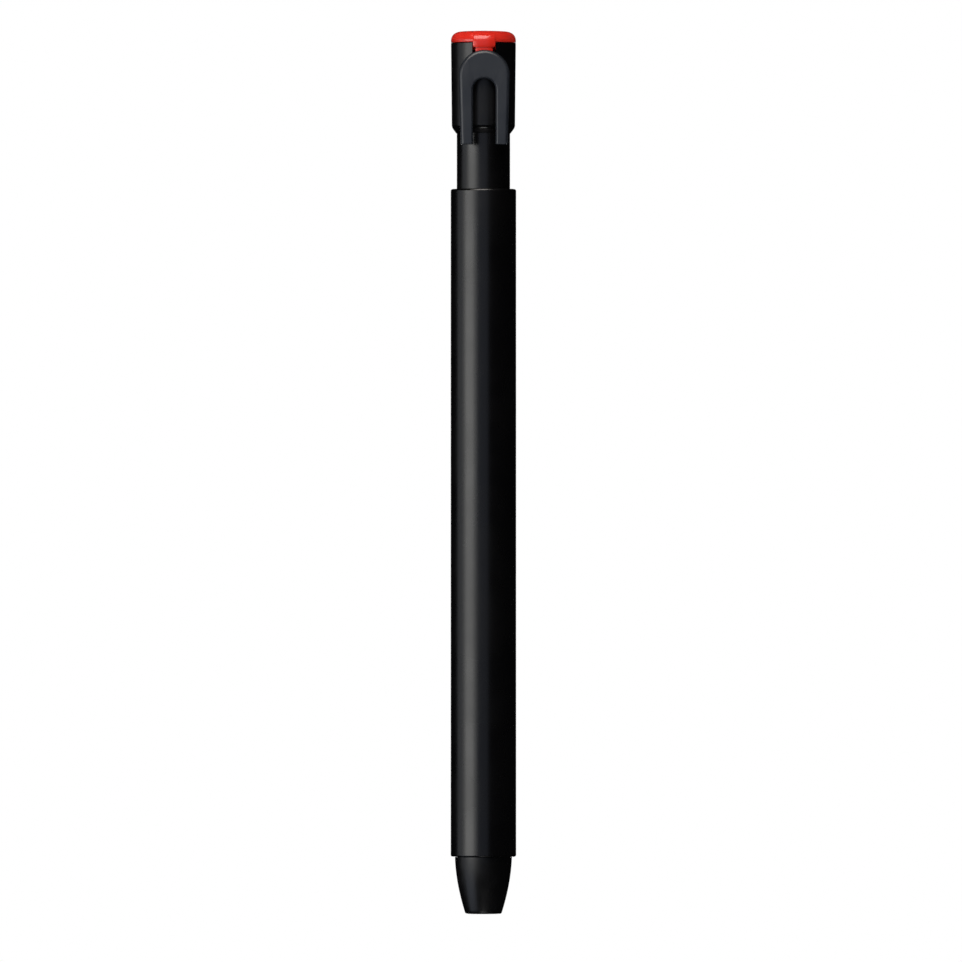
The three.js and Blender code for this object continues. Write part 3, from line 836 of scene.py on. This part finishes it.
dulled = add(
    tree,
    "ShaderNodeMath",
    {0: polish.outputs["Result"], 1: tree.nodes["Map Range"].outputs["Result"]},
    operation="MULTIPLY",
)
set_sockets(tree, tree.nodes["Principled BSDF"], {"Roughness": dulled.outputs["Value"]})
head.data.materials.append(capped)
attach(head, "push_unit")
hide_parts("head_shell")

# Clip: a flat fork moulded in black polycarbonate, with an arch, two legs and a front edge rounded
# all the way. A tenon and flange hook it behind the head's wall, and toes behind its legs grip a pocket.
CLIP_FOOT = 117.38
CLIP_BACK = -5.508
CLIP_FACE = -6.808
CLIP_ARCH_CENTRE = 127.91
CLIP_HALF = 3.87
CLIP_FOOT_HALF = 3.6
CLIP_ROUND = 0.55
CLIP_SLOT_CENTRE = 125.71
CLIP_SLOT_HALF = 1.72
CLIP_SLOT_ROUND = 0.36
CLIP_ARCH_SIDES = 96
CLIP_ROUND_STEPS = 6
CLIP_EDGE = 0.12
TENON_HALF = 1.7
TENON_FOOT = 128.28
TENON_TOP = 130.98
TENON_OVERLAP = 0.2
FLANGE_HALF = 2.5
FLANGE_INNER = 3.27
FLANGE_OUTER = 3.87
FLANGE_CUT_DEPTH = 5
TOE_RADIUS = 0.45
TOE_SIDES = 24
TOE_HEIGHT = 118.18
TOE_DEPTH = -5.658
TOE_INNER = 1.87
TOE_OUTER = 3.45

# Each row is an outline of the fork: its depth, arch half-width, foot half-width and arch centre.
fork_outside = [(CLIP_BACK, CLIP_HALF, CLIP_FOOT_HALF, CLIP_ARCH_CENTRE)]
fork_slot = [(CLIP_BACK, CLIP_SLOT_HALF, CLIP_SLOT_HALF, CLIP_SLOT_CENTRE)]
for step in range(CLIP_ROUND_STEPS + 1):
    turn = math.pi / 2 * step / CLIP_ROUND_STEPS
    depth = CLIP_FACE + CLIP_ROUND * (1 - math.sin(turn))
    inset = CLIP_ROUND * (1 - math.cos(turn))
    fork_outside.append((depth, CLIP_HALF - inset, CLIP_FOOT_HALF - inset, CLIP_ARCH_CENTRE))
    slot_half = CLIP_SLOT_HALF + CLIP_SLOT_ROUND * (1 - math.cos(turn))
    fork_slot.append((depth, slot_half, slot_half, CLIP_SLOT_CENTRE))
fork_outlines = fork_outside + fork_slot[::-1]


def corners(piece, test):
    """In edit mode, the numbers of the vertices that pass a test."""
    mesh = bmesh.from_edit_mesh(piece.data)
    mesh.verts.index_update()
    return {vertex.index for vertex in mesh.verts if test(vertex)}


def pick(piece, chosen):
    """In edit mode, selects the vertices with these numbers and no others."""
    mesh = bmesh.from_edit_mesh(piece.data)
    for vertex in mesh.verts:
        vertex.select_set(vertex.index in chosen)
    mesh.select_flush_mode()
    bmesh.update_edit_mesh(piece.data)


clip = start_circle(
    "fork_clip",
    CLIP_ARCH_SIDES,
    CLIP_HALF,
    (0, CLIP_BACK, CLIP_ARCH_CENTRE),
    tilt=(math.pi / 2, 0, 0),
)
bpy.ops.mesh.select_mode(type="VERT")
arch_level = CLIP_ARCH_CENTRE * MM
foot_level = CLIP_FOOT * MM
pick(clip, corners(clip, lambda v: v.co.z < arch_level - SAME_PLACE))
bpy.ops.mesh.delete(type="VERT")
pick(clip, corners(clip, lambda v: v.co.z < arch_level + SAME_PLACE))
leg_drop = (CLIP_FOOT - CLIP_ARCH_CENTRE) * MM
bpy.ops.mesh.extrude_region_move(TRANSFORM_OT_translate={"value": (0, 0, leg_drop)})
foot_share = CLIP_FOOT_HALF / CLIP_HALF
bpy.ops.transform.resize(value=(foot_share, 1, 1), center_override=(0, 0, 0))
bpy.ops.mesh.select_all(action="SELECT")
for now, then in zip(fork_outlines, fork_outlines[1:] + fork_outlines[:1]):
    depth, arch_half, foot_half, centre = now
    next_depth, next_arch_half, next_foot_half, next_centre = then
    bpy.ops.mesh.extrude_region_move(
        TRANSFORM_OT_translate={"value": (0, (next_depth - depth) * MM, 0)}
    )
    outline = corners(clip, lambda v: v.select)
    feet = corners(clip, lambda v: v.select and v.co.z < foot_level + SAME_PLACE)
    pick(clip, outline - feet)
    bpy.ops.transform.translate(value=(0, 0, (next_centre - centre) * MM))
    arch_share = next_arch_half / arch_half
    bpy.ops.transform.resize(
        value=(arch_share, 1, arch_share), center_override=(0, 0, next_centre * MM)
    )
    pick(clip, feet)
    bpy.ops.transform.resize(value=(next_foot_half / foot_half, 1, 1), center_override=(0, 0, 0))
    pick(clip, outline)
close_up()
break_edges(clip, CLIP_EDGE, segments=3)
for side in (-1, 1):
    toe_middle = side * (TOE_INNER + TOE_OUTER) / 2
    bpy.ops.object.select_all(action="DESELECT")
    bpy.ops.mesh.primitive_cylinder_add(
        vertices=TOE_SIDES,
        radius=TOE_RADIUS * MM,
        depth=(TOE_OUTER - TOE_INNER) * MM,
        location=(toe_middle * MM, TOE_DEPTH * MM, TOE_HEIGHT * MM),
        rotation=(0, math.pi / 2, 0),
    )
    toe = bpy.context.object
    bpy.ops.object.transform_apply(location=True, rotation=True, scale=True)
    break_edges(toe, CLIP_EDGE, segments=3)
    combine(clip, toe, "UNION")
flange = turned(
    "flange",
    [
        (FLANGE_INNER, TENON_FOOT),
        (FLANGE_OUTER, TENON_FOOT),
        (FLANGE_OUTER, TENON_TOP),
        (FLANGE_INNER, TENON_TOP),
    ],
)
flange_part = box(
    "flange_part",
    (-FLANGE_HALF, -FLANGE_CUT_DEPTH, TENON_FOOT - CUT_CLEAR),
    (FLANGE_HALF, 0, TENON_TOP + CUT_CLEAR),
)
combine(flange, flange_part, "INTERSECT")
combine(clip, flange, "UNION")
tenon = box(
    "tenon",
    (-TENON_HALF, (CLIP_BACK + CLIP_FACE) / 2, TENON_FOOT),
    (TENON_HALF, -FLANGE_INNER - TENON_OVERLAP, TENON_TOP),
)
combine(clip, tenon, "UNION")
shade(clip)

# Satin polycarbonate: a shade greyer than the ABS around it, with a soft, even shine.
polycarbonate = moulded(
    "Black polycarbonate, satin", "#23272d", "#282c32",
    roughness=0.37, grain=0.22, grain_depth=0.0008, handling=4,
)
clip.data.materials.append(polycarbonate)
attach(clip, "clip")
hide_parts("clip")

# End plug: a red ABS lid with a low dome, glossy. Its skirt sits in the head, its hollow spigot in the
# feed tube, and its lug in the head's notch, with a narrower tongue that goes down behind the clip.
PLUG_SPIGOT_FOOT = 121.48
PLUG_SPIGOT_RADIUS = 2.15
PLUG_SPIGOT_BORE = 1.4
PLUG_WEB = 132.45
PLUG_SKIRT_FOOT = 131.9
PLUG_SKIRT_BORE = 3.47
PLUG_SKIRT_RADIUS = 4.07
PLUG_SEAT = 133.05
PLUG_RADIUS = 4.958
PLUG_EDGE_FOOT = 133.45
PLUG_SHOULDER = (4.858, 134.55)
PLUG_SHOULDER_STEPS = 12
PLUG_CROWN = (3.598, 134.75)
PLUG_CROWN_STEPS = 8
PLUG_POLE = 0.1
PLUG_TOP = 134.87
PLUG_EDGE = 0.06
LUG_HALF = 1.7
LUG_FOOT = 132.25
LUG_TOP = 134.45
LUG_RADIUS = 5.208
LUG_ROUND = 1.35
LUG_ROUND_STEPS = 8
LUG_CORNER = 0.3
LUG_EDGE = 0.08
LUG_CUT_DEPTH = 6
TONGUE_HALF = 1.3
TONGUE_FOOT = 131.3
TONGUE_TOP = PLUG_SEAT - 0.1
TONGUE_RADIUS = 5.108
TONGUE_CORNER = 0.15
CORNER_STEPS = 4

plug = turned(
    "red_plug",
    [
        (PLUG_SPIGOT_BORE, PLUG_WEB),
        (PLUG_SPIGOT_BORE, PLUG_SPIGOT_FOOT),
        (PLUG_SPIGOT_RADIUS, PLUG_SPIGOT_FOOT),
        (PLUG_SPIGOT_RADIUS, PLUG_WEB),
        (PLUG_SKIRT_BORE, PLUG_WEB),
        (PLUG_SKIRT_BORE, PLUG_SKIRT_FOOT),
        (PLUG_SKIRT_RADIUS, PLUG_SKIRT_FOOT),
        (PLUG_SKIRT_RADIUS, PLUG_SEAT),
        (PLUG_RADIUS, PLUG_SEAT),
        (PLUG_RADIUS, PLUG_EDGE_FOOT),
        *curve((PLUG_RADIUS, PLUG_EDGE_FOOT), PLUG_SHOULDER, PLUG_CROWN, PLUG_SHOULDER_STEPS),
        *curve(PLUG_CROWN, (PLUG_CROWN[0] / 2, PLUG_TOP), (PLUG_POLE, PLUG_TOP), PLUG_CROWN_STEPS),
    ],
    closed=False,
)
break_edges(plug, PLUG_EDGE)
tongue = turned(
    "tongue",
    [
        (PLUG_SKIRT_BORE, TONGUE_FOOT - CUT_CLEAR),
        (TONGUE_RADIUS, TONGUE_FOOT - CUT_CLEAR),
        (TONGUE_RADIUS, TONGUE_TOP),
        (PLUG_SKIRT_BORE, TONGUE_TOP),
    ],
)
tongue_part = box(
    "tongue_part",
    (-TONGUE_HALF, -LUG_CUT_DEPTH, TONGUE_FOOT),
    (TONGUE_HALF, 0, LUG_TOP + CUT_CLEAR),
)
break_edges(tongue_part, TONGUE_CORNER, CORNER_STEPS)
combine(tongue, tongue_part, "INTERSECT")
break_edges(tongue, PLUG_EDGE)
combine(plug, tongue, "UNION")
lug = turned(
    "lug",
    [
        (PLUG_SKIRT_BORE, LUG_FOOT - CUT_CLEAR),
        (LUG_RADIUS, LUG_FOOT - CUT_CLEAR),
        (LUG_RADIUS, LUG_TOP - LUG_ROUND),
        *curve(
            (LUG_RADIUS, LUG_TOP - LUG_ROUND),
            (LUG_RADIUS, LUG_TOP),
            (LUG_RADIUS - LUG_ROUND, LUG_TOP),
            LUG_ROUND_STEPS,
        ),
        (PLUG_SKIRT_BORE, LUG_TOP),
    ],
)
lug_part = box(
    "lug_part", (-LUG_HALF, -LUG_CUT_DEPTH, LUG_FOOT), (LUG_HALF, 0, LUG_TOP + CUT_CLEAR)
)
break_edges(lug_part, LUG_CORNER, CORNER_STEPS)
combine(lug, lug_part, "INTERSECT")
break_edges(lug, LUG_EDGE, segments=3)
combine(plug, lug, "UNION")
shade(plug)

# Glossy ABS: a polished tool leaves hardly any pits, so its glints are bright and tight.
red = moulded(
    "Red ABS, glossy", "#e22e22", "#e6352a",
    roughness=0.23, grain=0.3, grain_depth=0.00006, handling=5,
)
plug.data.materials.append(red)
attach(plug, "end_plug")
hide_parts("end_plug")

# Floor: a plain pale sheet, low enough to leave room for the eraser when it is fed out. It keeps the
# pen's shadow, fades to the white of the background, and gives the pen no light of its own.
FLOOR_SIZE = 700
FLOOR_LEVEL = -42
FLOOR_SHADOW_REACH = 60
FLOOR_SHADOW_GLOW = 0.35
FLOOR_FADED = 260

bpy.ops.object.select_all(action="DESELECT")
bpy.ops.mesh.primitive_plane_add(size=FLOOR_SIZE * MM, location=(0, 0, FLOOR_LEVEL * MM))
floor = bpy.context.object
floor.name = "floor"
floor.visible_diffuse = False
floor.visible_glossy = False
floor.visible_shadow = False
pale, tree, place = bare_material("Pale floor")
away = add(tree, "ShaderNodeVectorMath", {0: place}, operation="LENGTH")
whiteness = add(
    tree,
    "ShaderNodeMapRange",
    {
        "Value": away.outputs["Value"],
        "From Min": FLOOR_SHADOW_REACH * MM,
        "From Max": FLOOR_FADED * MM,
        "To Min": FLOOR_SHADOW_GLOW,
        "To Max": 1,
    },
)
matt = add(tree, "ShaderNodeBsdfDiffuse", {"Color": linear("#e8e8e6")})
glow = add(
    tree,
    "ShaderNodeEmission",
    {"Color": linear("#ffffff"), "Strength": whiteness.outputs["Result"]},
)
lit = add(tree, "ShaderNodeAddShader", {0: matt.outputs["BSDF"], 1: glow.outputs["Emission"]})
clear = add(tree, "ShaderNodeBsdfTransparent", {})
under = add(tree, "ShaderNodeNewGeometry", {})
seen = add(
    tree,
    "ShaderNodeMixShader",
    {0: under.outputs["Backfacing"], 1: lit.outputs["Shader"], 2: clear.outputs["BSDF"]},
)
set_sockets(tree, tree.nodes["Material Output"], {"Surface": seen.outputs["Shader"]})
floor.data.materials.append(pale)

# Studio: two softboxes at the left front draw the bright band down the barrel, and a dim panel by the
# camera the grey one beside it. Low lamps light the nose and the head's foot, and a high one the lug.
# Behind, two lamps show the back's form, and two fills that no shine shows light the pale pieces.
PEN_MIDDLE = Vector((0, 0, 67.5 * MM))


def softbox(name, azimuth, elevation, distance, width, height, radiance, colour, in_shine=True):
    """A rectangular lamp aimed at the pen's middle, its distance and size in metres.

    Azimuth runs from the camera's side to the right.
    """
    turn = math.radians(azimuth)
    rise = math.radians(elevation)
    reach = distance * math.cos(rise)
    offset = Vector((reach * math.sin(turn), -reach * math.cos(turn), distance * math.sin(rise)))
    bpy.ops.object.light_add(type="AREA", location=PEN_MIDDLE + offset)
    lamp = bpy.context.object
    lamp.name = name
    lamp.rotation_euler = offset.to_track_quat("Z", "Y").to_euler()
    lamp.data.shape = "RECTANGLE"
    lamp.data.size = width
    lamp.data.size_y = height
    lamp.data.color = linear(colour)[:3]
    lamp.data.energy = radiance * math.pi * width * height
    lamp.visible_camera = False
    lamp.visible_glossy = in_shine


softbox(
    "key_core", azimuth=-52, elevation=1, distance=2.3,
    width=1.35, height=0.75, radiance=1.9, colour="#fdfdfb",
)
softbox(
    "key_wide", azimuth=-51, elevation=1, distance=2.6,
    width=2.6, height=0.85, radiance=1.2, colour="#fdfdfb",
)
softbox(
    "key_low", azimuth=-66, elevation=-24, distance=2.5,
    width=2.0, height=1.1, radiance=0.7, colour="#e0ebff",
)
softbox(
    "side", azimuth=-90, elevation=1, distance=2.4,
    width=1.2, height=0.9, radiance=0.6, colour="#f4f8ff",
)
softbox(
    "front", azimuth=-8, elevation=10, distance=2.7,
    width=2.4, height=1.5, radiance=0.32, colour="#dbe6ff",
)
softbox(
    "front_low", azimuth=-2, elevation=-52, distance=3,
    width=0.9, height=0.5, radiance=3, colour="#ffffff",
)
softbox(
    "top", azimuth=-13, elevation=53, distance=0.6,
    width=0.42, height=0.48, radiance=5.3, colour="#fff8f2",
)
softbox(
    "back_left", azimuth=-175, elevation=-30, distance=2.5,
    width=0.3, height=1.4, radiance=6, colour="#ffffff",
)
softbox(
    "back_right", azimuth=174, elevation=-30, distance=2.5,
    width=0.3, height=1.4, radiance=6, colour="#ffffff",
)
softbox(
    "back_fill", azimuth=148, elevation=8, distance=2.8,
    width=3.0, height=2.4, radiance=2.6, colour="#ffffff", in_shine=False,
)
softbox(
    "low_fill", azimuth=32, elevation=-48, distance=0.3,
    width=0.2, height=0.2, radiance=2.5, colour="#ffffff", in_shine=False,
)

# Background: white to the camera all round. In shine and through clear pieces it is white only
# straight behind the pen, where a backdrop would hang, and the rest of the room is dark.
BACKDROP_HALF_ANGLE = math.radians(11)
ROOM_LIGHT = 0.003

world = bpy.data.worlds.new("Studio")
bpy.context.scene.world = world
world.use_nodes = True
tree = world.node_tree
rays = add(tree, "ShaderNodeLightPath", {})
direction = add(tree, "ShaderNodeTexCoord", {}).outputs["Generated"]
parts = add(tree, "ShaderNodeSeparateXYZ", {"Vector": direction})
backdrop = add(
    tree,
    "ShaderNodeMath",
    {0: parts.outputs["Y"], 1: math.cos(BACKDROP_HALF_ANGLE)},
    operation="GREATER_THAN",
)
mirrored = add(
    tree,
    "ShaderNodeMath",
    {0: rays.outputs["Is Glossy Ray"], 1: rays.outputs["Is Transmission Ray"]},
    operation="MAXIMUM",
)
behind = add(
    tree,
    "ShaderNodeMath",
    {0: mirrored.outputs["Value"], 1: backdrop.outputs["Value"]},
    operation="MULTIPLY",
)
whole = add(
    tree,
    "ShaderNodeMath",
    {0: rays.outputs["Is Camera Ray"], 1: behind.outputs["Value"]},
    operation="MAXIMUM",
)
dim = add(tree, "ShaderNodeBackground", {"Color": linear("#ffffff"), "Strength": ROOM_LIGHT})
white = add(tree, "ShaderNodeBackground", {"Color": linear("#ffffff"), "Strength": 1})
seen = add(
    tree,
    "ShaderNodeMixShader",
    {0: whole.outputs["Value"], 1: dim.outputs["Background"], 2: white.outputs["Background"]},
)
set_sockets(tree, tree.nodes["World Output"], {"Surface": seen.outputs["Shader"]})
